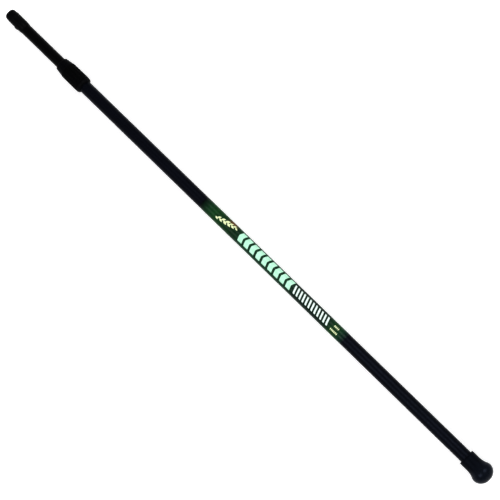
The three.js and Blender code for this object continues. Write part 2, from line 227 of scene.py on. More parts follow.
def rounded(corners, closed=True, steps=5):
    """Section points in which every (x, radius, fillet) corner has become an arc."""
    points = []
    last = len(corners) - 1
    for i, corner in enumerate(corners):
        here = Vector(corner[:2])
        fillet = corner[2] if len(corner) > 2 else 0
        at_end = not closed and i in (0, last)
        if fillet == 0 or at_end:
            points.append(tuple(here))
            continue
        before = Vector(corners[i - 1][:2]) - here
        after = Vector(corners[(i + 1) % len(corners)][:2]) - here
        half = before.angle(after) / 2
        reach = min(fillet / math.tan(half), before.length * 0.49, after.length * 0.49)
        radius = reach * math.tan(half)
        inward = (before.normalized() + after.normalized()).normalized()
        centre = here + inward * (radius / math.sin(half))
        spoke = here + before.normalized() * reach - centre
        final = here + after.normalized() * reach - centre
        start = math.atan2(spoke.y, spoke.x)
        sweep = math.atan2(spoke.cross(final), spoke.dot(final))
        for step in range(steps + 1):
            angle = start + sweep * step / steps
            points.append((centre.x + radius * math.cos(angle), centre.y + radius * math.sin(angle)))
    return points


def quarter_ellipse(x, length, radius, rise, steps):
    """Points that curve from (x, radius + rise) to (x + length, radius)."""
    angles = [math.pi / 2 * i / steps for i in range(steps + 1)]
    return [(x + length * math.sin(a), radius + rise * math.cos(a)) for a in angles]


def arc_points(centre, half_length, radius, start, end, steps):
    """Points on an ellipse about centre, from one x to another, at even steps of angle."""
    first = math.asin(max(-1, (start - centre) / half_length))
    last = math.asin(min(1, (end - centre) / half_length))
    angles = [first + (last - first) * i / steps for i in range(steps + 1)]
    return [(centre + half_length * math.sin(a), radius * math.cos(a)) for a in angles]


def clamped(value):
    """The value, held between 0 and 1."""
    return max(0.0, min(1.0, value))


def filled(points, longest):
    """The same section with extra points, so that no stretch is longer than the given length."""
    result = []
    for (x0, r0), (x1, r1) in zip(points, points[1:] + points[:1]):
        count = max(1, math.ceil(math.hypot(x1 - x0, r1 - r0) / longest))
        result += [(x0 + (x1 - x0) * i / count, r0 + (r1 - r0) * i / count) for i in range(count)]
    return result


# ---------------------------------------------------------------- meshes


def placed(name, data):
    """A new object in the scene."""
    thing = bpy.data.objects.new(name, data)
    bpy.context.scene.collection.objects.link(thing)
    return thing


def smooth(data):
    """Smooths a mesh, but not across its sharper edges."""
    data.shade_smooth()
    data.set_sharp_from_angle(angle=math.radians(SMOOTH_BELOW))


def bridge(mesh, one, other):
    """Faces between two rings of vertices."""
    for i in range(len(one)):
        j = (i + 1) % len(one)
        mesh.faces.new((one[i], one[j], other[j], other[i]))


def piece_from(name, mesh):
    """A piece from a bmesh in mm."""
    bmesh.ops.recalc_face_normals(mesh, faces=mesh.faces)
    bmesh.ops.scale(mesh, vec=(MM, MM, MM), verts=mesh.verts)
    data = bpy.data.meshes.new(name)
    mesh.to_mesh(data)
    mesh.free()
    smooth(data)
    return placed(name, data)


def on_axis(x, radius, angle):
    """The point at an angle round the axis. Angle 0 faces up and a quarter turn faces +Y."""
    return Vector((x, radius * math.sin(angle), AXIS_Z + radius * math.cos(angle)))


def turned(name, section, closed=True, segments=SEGMENTS, shape=None):
    """Turns a section about the axis. shape(x, radius, angle) may return another radius."""
    mesh = bmesh.new()
    rings = []
    for x, radius in section:
        ring = []
        for i in range(segments):
            angle = 2 * math.pi * i / segments
            reach = shape(x, radius, angle) if shape else radius
            ring.append(mesh.verts.new(on_axis(x, reach, angle)))
        rings.append(ring)
    pairs = list(zip(rings, rings[1:]))
    if closed:
        pairs.append((rings[-1], rings[0]))
    for one, other in pairs:
        bridge(mesh, one, other)
    bmesh.ops.remove_doubles(mesh, verts=mesh.verts, dist=1e-5)
    bmesh.ops.dissolve_degenerate(mesh, edges=mesh.edges, dist=1e-6)
    return piece_from(name, mesh)


def radial_profile(name, profile, x, angle, segments=SMALL_SEGMENTS):
    """Turns a profile of (height, radius) about a line that leaves the axis at an angle."""
    outward = on_axis(0, 1, angle) - on_axis(0, 0, 0)
    along = Vector((1, 0, 0))
    sideways = outward.cross(along)
    mesh = bmesh.new()
    rings = []
    for height, radius in profile:
        centre = on_axis(x, 0, 0) + outward * height
        turns = [2 * math.pi * i / segments for i in range(segments)]
        rings.append([
            mesh.verts.new(centre + (along * math.cos(t) + sideways * math.sin(t)) * radius)
            for t in turns
        ])
    for one, other in zip(rings, rings[1:]):
        bridge(mesh, one, other)
    bmesh.ops.remove_doubles(mesh, verts=mesh.verts, dist=1e-5)
    return piece_from(name, mesh)


def drill(x, angle, radius, inner, outer):
    """A round cutting tool that points away from the axis."""
    profile = [(inner, 0), (inner, radius), (outer, radius), (outer, 0)]
    return radial_profile("tool", profile, x, angle)


def saw(x0, x1, inner, outer, width, angle):
    """A flat cutting tool that stands on the axis at an angle."""
    mesh = bmesh.new()
    turn = Matrix.Rotation(-angle, 4, "X")
    rest = Matrix.Translation((0, 0, AXIS_Z))
    corners = [
        mesh.verts.new(rest @ turn @ Vector((x, side * width / 2, radius)))
        for x in (x0, x1) for side in (-1, 1) for radius in (inner, outer)
    ]
    for face in ((0, 1, 3, 2), (4, 6, 7, 5), (0, 4, 5, 1), (2, 3, 7, 6), (0, 2, 6, 4), (1, 5, 7, 3)):
        mesh.faces.new([corners[i] for i in face])
    return piece_from("tool", mesh)


def combine(piece, tools, operation="DIFFERENCE"):
    """Cuts tools out of a piece, or adds them to it, and removes the tools."""
    for tool in tools:
        modifier = piece.modifiers.new("combine", "BOOLEAN")
        modifier.operation = operation
        modifier.solver = "EXACT"
        modifier.object = tool
    depsgraph = bpy.context.evaluated_depsgraph_get()
    result = bpy.data.meshes.new_from_object(piece.evaluated_get(depsgraph))
    piece.modifiers.clear()
    piece.data = result
    for tool in tools:
        bpy.data.objects.remove(tool)
    smooth(piece.data)
    return piece


def strip(name, path):
    """A strip of sheet metal that follows (x, y) points, with bevelled edges."""
    mesh = bmesh.new()
    half, wide = STRIP_THICKNESS / 2, STRIP_WIDTH / 2
    edge = STRIP_THICKNESS * STRIP_BEVEL
    outline = [
        (-half, -wide + edge), (-half, wide - edge), (-half + edge, wide), (half - edge, wide),
        (half, wide - edge), (half, -wide + edge), (half - edge, -wide), (-half + edge, -wide),
    ]
    rings = []
    for i, point in enumerate(path):
        ahead = Vector(path[min(i + 1, len(path) - 1)]) - Vector(path[max(i - 1, 0)])
        across = Vector((-ahead.y, ahead.x)).normalized()
        rings.append([
            mesh.verts.new((point[0] + across.x * a, point[1] + across.y * a, AXIS_Z + z))
            for a, z in outline
        ])
    for one, other in zip(rings, rings[1:]):
        bridge(mesh, one, other)
    mesh.faces.new(rings[0])
    mesh.faces.new(rings[-1])
    return piece_from(name, mesh)


def printed(name, outlines, slot, thickness=INK_THICKNESS):
    """Thin shapes laid round the film. An outline is a list of (x, arc) points, and arc is the
    distance round the film from its top towards +Y."""
    slice_width = 0.8
    mesh = bmesh.new()
    for outline in outlines:
        mesh.faces.new([mesh.verts.new((x, arc, 0)) for x, arc in outline])
    bmesh.ops.remove_doubles(mesh, verts=mesh.verts, dist=1e-4)
    reach = math.pi * FILM_RADIUS
    for i in range(int(2 * reach / slice_width)):
        everything = mesh.verts[:] + mesh.edges[:] + mesh.faces[:]
        level = Vector((0, -reach + i * slice_width, 0))
        bmesh.ops.bisect_plane(mesh, geom=everything, plane_co=level, plane_no=(0, 1, 0))
    raised = bmesh.ops.extrude_face_region(mesh, geom=mesh.faces[:])["geom"]
    top = [part for part in raised if isinstance(part, bmesh.types.BMVert)]
    bmesh.ops.translate(mesh, verts=top, vec=(0, 0, thickness))
    for vert in mesh.verts:
        vert.co = on_axis(vert.co.x, FILM_RADIUS + vert.co.z, vert.co.y / FILM_RADIUS)
    return add(piece_from(name, mesh), "outer_pole", slot)


def add(piece, body, slot, *nodes):
    """Gives a piece its body, its finish and the nodes that it stands for."""
    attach(piece, body)
    if nodes:
        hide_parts(*nodes)
    piece.data.materials.clear()
    piece.data.materials.append(FINISHES[slot])
    return piece


# ---------------------------------------------------------------- materials


BLUE_SHEEN = (0.6, 0.72, 1.0)


class Finish:
    """One procedural material: its Principled shader and a few ways to build what feeds it.

    Patterns use object coordinates, in metres, so they stay on a piece as it moves. Inputs are
    given by name, with an underscore for a space, and each is a number, three numbers or a
    socket to link."""

    def __init__(self, name, **inputs):
        self.material = bpy.data.materials.new(name)
        self.material.use_nodes = True
        self.nodes = self.material.node_tree.nodes
        self.links = self.material.node_tree.links
        self.shader = self.nodes["Principled BSDF"]
        self.place = self.node("TexCoord").outputs["Object"]
        self.normal = None
        self.feed(self.shader, **inputs)

    def plug(self, socket, value):
        """Links a socket, or sets it."""
        if isinstance(value, bpy.types.NodeSocket):
            self.links.new(value, socket)
        elif socket.type == "RGBA":
            socket.default_value = (*value, 1)
        else:
            socket.default_value = value

    def feed(self, node, **inputs):
        for name, value in inputs.items():
            self.plug(node.inputs[name.replace("_", " ")], value)

    def node(self, kind, **inputs):
        node = self.nodes.new(f"ShaderNode{kind}")
        self.feed(node, **inputs)
        return node

    def source(self, name):
        """What feeds one of the shader's inputs so far."""
        return self.shader.inputs[name].links[0].from_socket

    def coordinate(self, axis):
        """One object coordinate, in metres."""
        return self.node("SeparateXYZ", Vector=self.place).outputs[axis]

    def radius(self):
        """Distance from the handle's axis, in metres."""
        across = self.coordinate("Y")
        height = self.math("SUBTRACT", self.coordinate("Z"), AXIS_Z * MM)
        squares = [self.product(value, value) for value in (across, height)]
        return self.math("SQRT", self.math("ADD", *squares))

    def noise(self, grain, detail=3.0, stretch=(1, 1, 1), roughness=0.5):
        """Noise whose lumps are about grain mm across."""
        place = self.node("Mapping", Vector=self.place, Scale=stretch).outputs[0]
        scale = 1 / (grain * MM)
        noise = self.node("TexNoise", Vector=place, Scale=scale, Detail=detail, Roughness=roughness)
        return noise.outputs["Fac"]

    def cells(self, grain):
        """Distance to the middles of cells about grain mm across."""
        cells = self.node("TexVoronoi", Vector=self.place, Scale=1 / (grain * MM))
        return cells.outputs["Distance"]

    def ramp(self, value, *stops):
        """A colour from (position, colour) stops."""
        ramp = self.node("ValToRGB", Fac=value)
        elements = ramp.color_ramp.elements
        while len(elements) < len(stops):
            elements.new(0.5)
        for element, (position, colour) in zip(elements, stops):
            element.position = position
            element.color = (*colour, 1)
        return ramp.outputs["Color"]

    def rescaled(self, value, low, high, new_low=0.0, new_high=1.0):
        """A value moved smoothly from one range to another, and held at its ends."""
        scaled = self.node(
            "MapRange", Value=value, From_Min=low, From_Max=high, To_Min=new_low, To_Max=new_high,
        )
        scaled.interpolation_type = "SMOOTHSTEP"
        return scaled.outputs["Result"]

    def along(self, start, end, low=0.0, high=1.0):
        """A value that goes smoothly from low to high between two places on the handle, in mm."""
        return self.rescaled(self.coordinate("X"), start * MM, end * MM, low, high)

    def math(self, operation, first, second=0.0):
        node = self.node("Math")
        node.operation = operation
        self.plug(node.inputs[0], first)
        self.plug(node.inputs[1], second)
        return node.outputs[0]

    def product(self, first, second):
        return self.math("MULTIPLY", first, second)

    def mixed(self, amount, first, second, blend="MIX"):
        """A blend of two colours."""
        mix = self.node("Mix")
        mix.data_type = "RGBA"
        mix.blend_type = blend
        self.plug(mix.inputs["Factor"], amount)
        # The colour sockets go by number, because those for numbers and vectors share their names
        self.plug(mix.inputs[6], first)
        self.plug(mix.inputs[7], second)
        return mix.outputs[2]

    def colour(self, value):
        self.feed(self.shader, Base_Color=value)

    def roughness(self, value):
        self.feed(self.shader, Roughness=value)

    def patchy_roughness(self, grain, low, high, detail=4):
        """Roughness between two values, in patches about grain mm across."""
        patches = self.noise(grain, detail=detail)
        self.roughness(self.rescaled(patches, 0.3, 0.7, low, high))

    def bump(self, height, depth):
        """Adds relief whose full height is depth mm, on top of the bumps so far."""
        bump = self.node("Bump", Height=height, Distance=depth * MM, Strength=1.0)
        if self.normal:
            self.feed(bump, Normal=self.normal)
        self.normal = bump.outputs[0]
        self.feed(self.shader, Normal=self.normal)


def black_coat():
    """Powder coat on the main tube: orange peel, faint scuffs along it, a little blue."""
    finish = Finish("black_coat", Specular_IOR_Level=0.11, Specular_Tint=BLUE_SHEEN)
    mottle = finish.noise(9, detail=4, stretch=(0.35, 1, 1))
    coat = finish.ramp(mottle, (0.3, (0.0008, 0.0009, 0.003)), (0.75, (0.0017, 0.0019, 0.0054)))
    scuffs = finish.noise(0.55, detail=3, stretch=(0.012, 1, 1), roughness=0.65)
    scuffed = finish.rescaled(scuffs, 0.63, 0.82)
    patches = finish.rescaled(finish.noise(46, detail=2), 0.5, 0.7)
    worn = finish.product(scuffed, patches)
    finish.colour(finish.mixed(worn, coat, (0.012, 0.0125, 0.016)))
    finish.patchy_roughness(3.2, 0.36, 0.5)
    finish.bump(finish.noise(1.3, detail=2), 0.02)
    finish.bump(finish.noise(0.25, detail=2), 0.004)
    return finish.material


def thin_tube_coat():
    """Harder black coat on the inner tube, with fine scratches from sliding in and out."""
    finish = Finish("thin_tube_coat", Specular_IOR_Level=0.07)
    mottle = finish.noise(6, detail=4, stretch=(0.3, 1, 1))
    coat = finish.ramp(mottle, (0.3, (0.0007, 0.0008, 0.0011)), (0.75, (0.0014, 0.0015, 0.002)))
    lines = finish.noise(0.32, detail=2, stretch=(0.004, 1, 1), roughness=0.6)
    scratched = finish.rescaled(lines, 0.6, 0.78)
    patches = finish.rescaled(finish.noise(28, detail=2), 0.42, 0.66)
    worn = finish.product(scratched, patches)
    finish.colour(finish.mixed(worn, coat, (0.018, 0.018, 0.02)))
    finish.roughness(finish.rescaled(lines, 0.3, 0.75, 0.3, 0.48))
    finish.bump(lines, 0.004)
    finish.bump(finish.noise(0.9, detail=2), 0.008)
    return finish.material


def moulded(name, dark, light, smoothest, roughest, grain, depth, worn=None, specular=0.1):
    """Spark-eroded moulded plastic or rubber, with an optional colour where it is rubbed."""
    finish = Finish(name, Specular_IOR_Level=specular)
    mottle = finish.noise(5, detail=5, roughness=0.6)
    colour = finish.ramp(mottle, (0.3, dark), (0.72, light))
    if worn:
        specks = finish.rescaled(finish.noise(0.6, detail=4, roughness=0.7), 0.6, 0.78)
        patches = finish.rescaled(finish.noise(16, detail=2), 0.45, 0.68)
        colour = finish.mixed(finish.product(specks, patches), colour, worn)
    finish.colour(colour)
    finish.patchy_roughness(1.8, smoothest, roughest)
    finish.bump(finish.cells(grain), depth)
    finish.bump(finish.noise(grain * 4, detail=3), depth * 1.5)
    return finish


def grip_rubber():
    """Dull, grained rubber, rubbed paler on top of its ridges."""
    finish = moulded(
        "grip_rubber", (0.0006, 0.0007, 0.0009), (0.0014, 0.0016, 0.0021),
        0.66, 0.85, 0.3, 0.04, worn=(0.014, 0.014, 0.015), specular=0.05,
    )
    top = span("nut_grip")[2]
    ridge = finish.rescaled(finish.radius(), (top - FLUTE_DEPTH) * MM, top * MM)
    rubbed = finish.product(ridge, finish.rescaled(finish.noise(2.2, detail=5), 0.38, 0.66))
    finish.colour(finish.mixed(rubbed, finish.source("Base Color"), (0.0036, 0.0038, 0.005)))
    return finish.material


def foot_rubber():
    """Blue-black rubber: a fine parting line, a polished ball, a dull neck darkened by painted shade, and
    a dusty end.
    """
    finish = moulded(
        "foot_rubber", (0.006, 0.0082, 0.0135), (0.0105, 0.0136, 0.021),
        0, 0.1, 0.4, 0.02, worn=(0.03, 0.031, 0.034), specular=0.08,
    )
    finish.feed(finish.shader, Specular_Tint=BLUE_SHEEN)
    height = finish.math("SUBTRACT", finish.coordinate("Z"), AXIS_Z * MM)
    line = finish.rescaled(finish.math("ABSOLUTE", height), 0.1 * MM, 0.28 * MM, 1, 0)
    finish.bump(line, 0.1)
    near_ground = finish.along(FOOT_END + 9, FOOT_END)
    dust = finish.product(near_ground, finish.rescaled(finish.noise(0.9, detail=5), 0.4, 0.8))
    # Painted shade: the colour darkens from the flare into the neck, the hollow between the ball and the
    # tube.
    neck = finish.along(FOOT_END + FLARE_START, FOOT_END + NECK_START, 0, 0.9)
    body = finish.mixed(neck, finish.source("Base Color"), (0.0012, 0.0018, 0.0045))
    finish.colour(finish.mixed(dust, body, (0.045, 0.044, 0.042)))
    polish = finish.along(FOOT_END + BALL_CENTRE, FOOT_END + NECK_START, 0.2, 0.46)
    finish.roughness(finish.math("ADD", finish.source("Roughness"), polish))
    return finish.material


def tip_plastic():
    """Satin plastic with scratches along it, where a net's socket slides on and off."""
    finish = moulded(
        "tip_plastic", (0.0009, 0.0012, 0.0018), (0.0018, 0.0023, 0.003),
        0.36, 0.52, 0.25, 0.004, specular=0.06,
    )
    lines = finish.noise(0.4, detail=3, stretch=(0.03, 1, 1), roughness=0.6)
    near_end = finish.along(TIP_END - 30, TIP_END - 2, 0.25, 1)
    worn = finish.product(finish.rescaled(lines, 0.6, 0.78), near_end)
    finish.colour(finish.mixed(worn, finish.source("Base Color"), (0.024, 0.025, 0.027)))
    finish.bump(lines, 0.006)
    return finish.material


def brown_patch(finish):
    """How much of a soft brown patch shows, on the upper half of the film only."""
    shares = []
    for axis, centre, reach in (("X", PATCH_X, PATCH_HALF_LENGTH), ("Y", PATCH_Y, PATCH_HALF_WIDTH)):
        offset = finish.math("SUBTRACT", finish.coordinate(axis), centre * MM)
        distance = finish.math("ABSOLUTE", offset)
        shares.append(finish.rescaled(distance, 0, reach * MM, 1, 0))
    above = finish.rescaled(finish.coordinate("Z"), AXIS_Z * MM, (AXIS_Z + 2) * MM)
    return finish.product(finish.product(*shares), above)


def label_green():
    """Printed film: green that fades to black at both ends and is darker under the marks."""
    finish = Finish("label_green", Specular_IOR_Level=0.1, Coat_Weight=0.05, Coat_Roughness=0.25)
    start, end, _ = span("label_sleeve")
    share = finish.along(start, end)
    share.node.interpolation_type = "LINEAR"
    ground = finish.ramp(
        share, (0.0, (0.001, 0.006, 0.009)), (0.02, (0.002, 0.03, 0.017)),
        (0.04, (0.008, 0.05, 0.02)), (0.075, (0.009, 0.056, 0.01)), (0.1, (0.008, 0.048, 0.017)),
        (0.12, (0.006, 0.03, 0.013)), (0.16, (0.005, 0.021, 0.013)), (0.34, (0.006, 0.022, 0.014)),
        (0.4, (0.007, 0.045, 0.021)), (0.7, (0.008, 0.052, 0.024)), (0.78, (0.007, 0.036, 0.013)),
        (0.91, (0.009, 0.062, 0.014)), (0.955, (0.007, 0.05, 0.017)), (0.985, (0.004, 0.02, 0.01)),
        (1.0, (0.002, 0.0022, 0.004)),
    )
    ground = finish.mixed(brown_patch(finish), ground, (0.13, 0.055, 0.012))
    dots = finish.rescaled(finish.cells(0.5), 0.2, 0.6, 0.8, 1.1)
    cloud = finish.rescaled(finish.noise(7, detail=3), 0.3, 0.7, 0.82, 1.15)
    finish.colour(finish.mixed(1, ground, finish.product(dots, cloud), blend="MULTIPLY"))
    finish.patchy_roughness(2.5, 0.3, 0.42)
    finish.bump(finish.noise(6, detail=2, stretch=(0.5, 1, 1)), 0.03)
    finish.bump(finish.noise(0.4, detail=2), 0.003)
    return finish.material


def ink(name, dark, light):
    """Printed ink: slightly uneven, with a fine screen pattern."""
    finish = Finish(name, Specular_IOR_Level=0.3, Coat_Weight=0.08, Coat_Roughness=0.25)
    body = finish.ramp(finish.noise(4, detail=4), (0.3, dark), (0.7, light))
    screen = finish.rescaled(finish.cells(0.35), 0.45, 0.75, 0, 0.35)
    finish.colour(finish.mixed(screen, body, dark))
    finish.patchy_roughness(2, 0.32, 0.46, detail=3)
    finish.bump(finish.noise(0.35, detail=2), 0.003)
    return finish.material


def nylon():
    finish = moulded(
        "nylon", (0.42, 0.4, 0.34), (0.52, 0.5, 0.44), 0.35, 0.5, 0.5, 0.004, specular=0.45,
    )
    scatter = (0.002, 0.0018, 0.0014)
    finish.feed(finish.shader, Subsurface_Weight=0.15, Subsurface_Radius=scatter)
    return finish.material


def rivet():
    """Turned aluminium, dulled unevenly."""
    finish = Finish("rivet", Metallic=1.0)
    finish.colour(finish.ramp(
        finish.noise(1.2, detail=5), (0.3, (0.42, 0.43, 0.45)), (0.7, (0.66, 0.67, 0.69)),
    ))
    finish.patchy_roughness(0.5, 0.26, 0.5)
    finish.bump(finish.noise(0.2, detail=3), 0.004)
    return finish.material


def spring_steel():
    """Rolled strip with its grain along it, and a slight blue from hardening."""
    finish = Finish("spring_steel", Metallic=1.0)
    grain = finish.noise(0.15, detail=3, stretch=(0.05, 1, 1))
    temper = finish.noise(9, detail=2)
    finish.colour(finish.ramp(temper, (0.3, (0.34, 0.35, 0.38)), (0.7, (0.52, 0.51, 0.5))))
    finish.roughness(finish.rescaled(grain, 0.3, 0.7, 0.24, 0.42))
    finish.bump(grain, 0.003)
    return finish.material


def floor_paint():
    finish = Finish(
        "floor_paint", Specular_IOR_Level=0.2, Emission_Color=(1, 1, 1), Emission_Strength=0.36,
    )
    finish.colour(finish.ramp(
        finish.noise(60, detail=3), (0.3, (0.86, 0.86, 0.86)), (0.7, (0.89, 0.89, 0.89)),
    ))
    finish.patchy_roughness(8, 0.75, 0.9, detail=3)
    return finish.material


FINISHES = {
    make.__name__: make()
    for make in (
        black_coat, thin_tube_coat, grip_rubber, foot_rubber, tip_plastic, label_green, nylon,
        rivet, spring_steel,
    )
}
FINISHES["lock_plastic"] = moulded(
    "lock_plastic", (0.001, 0.0011, 0.0022), (0.002, 0.0022, 0.0038),
    0.42, 0.62, 0.22, 0.02, worn=(0.02, 0.02, 0.023), specular=0.06,
).material
FINISHES["wiper_rubber"] = moulded(
    "wiper_rubber", (0.003, 0.003, 0.0035), (0.006, 0.006, 0.0065), 0.5, 0.66, 0.2, 0.005,
).material
FINISHES["button_plastic"] = moulded(
    "button_plastic", (0.0025, 0.0027, 0.0034), (0.005, 0.0053, 0.0064),
    0.2, 0.34, 0.3, 0.002, worn=(0.03, 0.03, 0.033), specular=0.3,
).material
for name, dark, light in (
    ("label_mint", (0.41, 0.69, 0.53), (0.51, 0.81, 0.65)),
    ("label_white", (0.62, 0.72, 0.68), (0.7, 0.8, 0.76)),
    ("label_yellow", (0.62, 0.68, 0.4), (0.74, 0.79, 0.52)),
):
    FINISHES[name] = ink(name, dark, light)

# ---------------------------------------------------------------- main tube, plug and foot


def rivet_drills():
    """Tools for the two rivets through the threaded sleeve and the main tube."""
    x = middle("sleeve_rivet_a")
    return [
        drill(x, angle, RIVET_HOLE_RADIUS, OUTER_BORE - TOOL_REACH, THREAD_CREST + TOOL_REACH)
        for angle in (0, math.pi)
    ]


def tube_section(node, bore):
    """The wall of a plain tube, with its edges taken off."""
    start, end, radius = span(node)
    corners = [(start, radius), (end, radius), (end, bore), (start, bore)]
    return rounded([(*corner, CRISP) for corner in corners])


def main_tube():
    section = tube_section("outer_tube", OUTER_BORE)
    tube = combine(turned("main_tube", section), rivet_drills())
    return add(tube, "outer_pole", "black_coat", "outer_tube")


def tube_plug():
    """The plug with a cup in it that carries the foot's wear off the tube's cut end."""
    start, end, radius = span("foot_plug")
    spigot = OUTER_BORE - FIXED_GAP
    cap = start + PLUG_CAP
    section = rounded([
        (start, 0), (start, radius, 0.4), (cap, radius, CRISP), (cap, spigot, CRISP),
        (end, spigot, 0.8), (end, PLUG_CUP_RADIUS, SOFT), (cap, PLUG_CUP_RADIUS, 1.5), (cap, 0),
    ], closed=False)
    return add(turned("tube_plug", section, closed=False), "outer_pole", "nylon", "foot_plug")


def flare_points(start, steps):
    """The hollow curve from the ball down to the neck."""
    points = []
    for i in range(1, steps + 1):
        from_neck = (NECK_START - start) * (1 - i / steps)
        rise = FLARE_RADIUS - math.sqrt(FLARE_RADIUS**2 - from_neck**2)
        points.append((FOOT_END + NECK_START - from_neck, NECK_RADIUS + rise))
    return points


def foot():
    """The ball foot, with a fine groove just behind its mouth."""
    _, mouth, radius = span("ball_foot")
    edge_in, edge_along = 0.4, 0.5  # bevel round the flat end
    flat = arc_points(BALL_CENTRE, BALL_HALF_LENGTH, radius, 0, 0, 1)[0][1]
    ball = arc_points(BALL_CENTRE, BALL_HALF_LENGTH, radius, edge_along, FLARE_START, 24)
    socket = OUTER_RADIUS + FOOT_GAP
    socket_end = span("foot_plug")[0] - END_GAP
    groove_start = mouth - GROOVE_FROM_MOUTH
    groove_end = groove_start + GROOVE_WIDTH
    groove_bottom = NECK_RADIUS - GROOVE_DEPTH
    section = [(FOOT_END, 0), (FOOT_END, flat - edge_in)]
    section += [(FOOT_END + x, r) for x, r in ball]
    section += flare_points(FLARE_START, 14)
    section += rounded([
        (groove_start - 0.4, NECK_RADIUS), (groove_start, NECK_RADIUS, SOFT),
        (groove_start + GROOVE_SLOPE, groove_bottom, SOFT),
        (groove_end - GROOVE_SLOPE, groove_bottom, SOFT),
        (groove_end, NECK_RADIUS, SOFT), (mouth, NECK_RADIUS, MOUTH_ROUNDING),
        (mouth, socket, 0.4), (socket_end, socket, 0.5), (socket_end, 0),
    ], closed=False)
    piece = turned("ball_foot_cover", section, closed=False)
    return add(piece, "outer_pole", "foot_rubber", "ball_foot")


# ---------------------------------------------------------------- label


def film():
    """The printed film, whose ends overlap along the underside."""
    start, end, _ = span("label_sleeve")
    inside = OUTER_RADIUS + FILM_GAP
    section = rounded([
        (start, FILM_RADIUS, FILM_EDGE), (end, FILM_RADIUS, FILM_EDGE), (end, inside), (start, inside),
    ], steps=2)
    sheet = turned("label_film", filled(section, 12))
    return add(sheet, "outer_pole", "label_green", "label_sleeve")


def film_overlap():
    """The strip of film that laps over the other end, under the handle."""
    start, end, _ = span("label_sleeve")
    under = math.pi * FILM_RADIUS
    edge = under - LAP_WIDTH
    outline = [(start, edge), (end, edge), (end, under), (start, under)]
    return printed("label_film_lap", [outline], "label_green", LAP_THICKNESS)


def arrows():
    """A row of broad arrows that point towards the tip. Each is two slanted arms."""
    outlines = []
    for i in range(ARROW_COUNT):
        front = ARROW_START - i * ARROW_PITCH
        back = front - ARROW_STROKE
        for side in (-1, 1):
            end = ARROW_ARC + side * ARROW_HALF_HEIGHT
            outlines.append([
                (front, ARROW_ARC), (back, ARROW_ARC),
                (back - ARROW_SWEEP, end), (front - ARROW_SWEEP, end),
            ])
    return printed("label_arrows", outlines, "label_mint")


def slants():
    """A band of evenly spaced slanted bars."""
    low, high = SLANT_ARCS
    outlines = []
    for i in range(SLANT_COUNT):
        front = SLANT_START - i * SLANT_PITCH
        back = front - SLANT_WIDTH
        outlines.append([
            (front - SLANT_LEAN * low, low), (back - SLANT_LEAN * low, low),
            (back - SLANT_LEAN * high, high), (front - SLANT_LEAN * high, high),
        ])
    return printed("label_slants", outlines, "label_white")


def leaf(x, arc, length, width, angle, steps=7):
    """A pointed leaf that starts at (x, arc) and grows at an angle."""
    edge = [i / steps for i in range(steps + 1)]
    outline = [(t * length, width / 2 * math.sin(math.pi * t ** 0.8)) for t in edge]
    outline += [(px, -py) for px, py in outline[-2:0:-1]]
    c, s = math.cos(angle), math.sin(angle)
    return [(x + px * c - py * s, arc + px * s + py * c) for px, py in outline]


def sprig():
    """A leafy sprig on a thin stem, which climbs across the film. Its leaves alternate."""
    (x0, arc0), (x1, arc1) = SPRIG_START, SPRIG_END
    widest, narrowing = 0.45, 0.7  # where the leaves are longest, and how fast they shrink from there
    direction = math.atan2(arc1 - arc0, x1 - x0)
    outlines = [[
        (x0, arc0 - STEM_HALF), (x0, arc0 + STEM_HALF), (x1, arc1 + STEM_HALF), (x1, arc1 - STEM_HALF),
    ]]
    for i in range(LEAF_COUNT):
        t = i / LEAF_COUNT
        size = 1 - abs(t - widest) * narrowing
        angle = direction + LEAF_SPREAD * (1 if i % 2 else -1)
        outlines.append(leaf(
            x0 + (x1 - x0) * t, arc0 + (arc1 - arc0) * t, LEAF_LENGTH * size, LEAF_WIDTH * size, angle,
        ))
    return printed("label_sprig", outlines, "label_yellow")


def small_rows():
    """Two short rows of small diamonds."""
    outlines = []
    for first, count, arc in DIAMOND_ROWS:
        for i in range(count):
            x = first - i * DIAMOND_PITCH
            outlines.append([
                (x + DIAMOND_HALF_LENGTH, arc), (x, arc - DIAMOND_HALF_HEIGHT),
                (x - DIAMOND_HALF_LENGTH, arc), (x, arc + DIAMOND_HALF_HEIGHT),
            ])
    return printed("label_small_rows", outlines, "label_yellow")


# ---------------------------------------------------------------- twist lock


def key_boxes(start, end, inner, outer, width):
    """Boxes round the axis, one for each of the collet's keys."""
    return [
        saw(start, end, inner, outer, width, math.pi / 2 - (i + 0.5) * 2 * math.pi / KEYS)
        for i in range(KEYS)
    ]


def thread_height(x, radius, angle, end):
    """The radius of a single-start thread that fades in and out at its ends."""
    if radius != THREAD_ROOT or not THREAD_START <= x <= end:
        return radius
    half_width, flank = 0.3, 0.125  # of a ridge and its flank, as shares of the pitch
    phase = (x / THREAD_PITCH - angle / (2 * math.pi)) % 1
    ridge = clamped((half_width - abs(phase - 0.5)) / flank)
    fade = clamped(min((x - THREAD_START) / THREAD_FADE_IN, (end - x) / THREAD_FADE_OUT))
    return radius + (THREAD_CREST - THREAD_ROOT) * ridge * fade


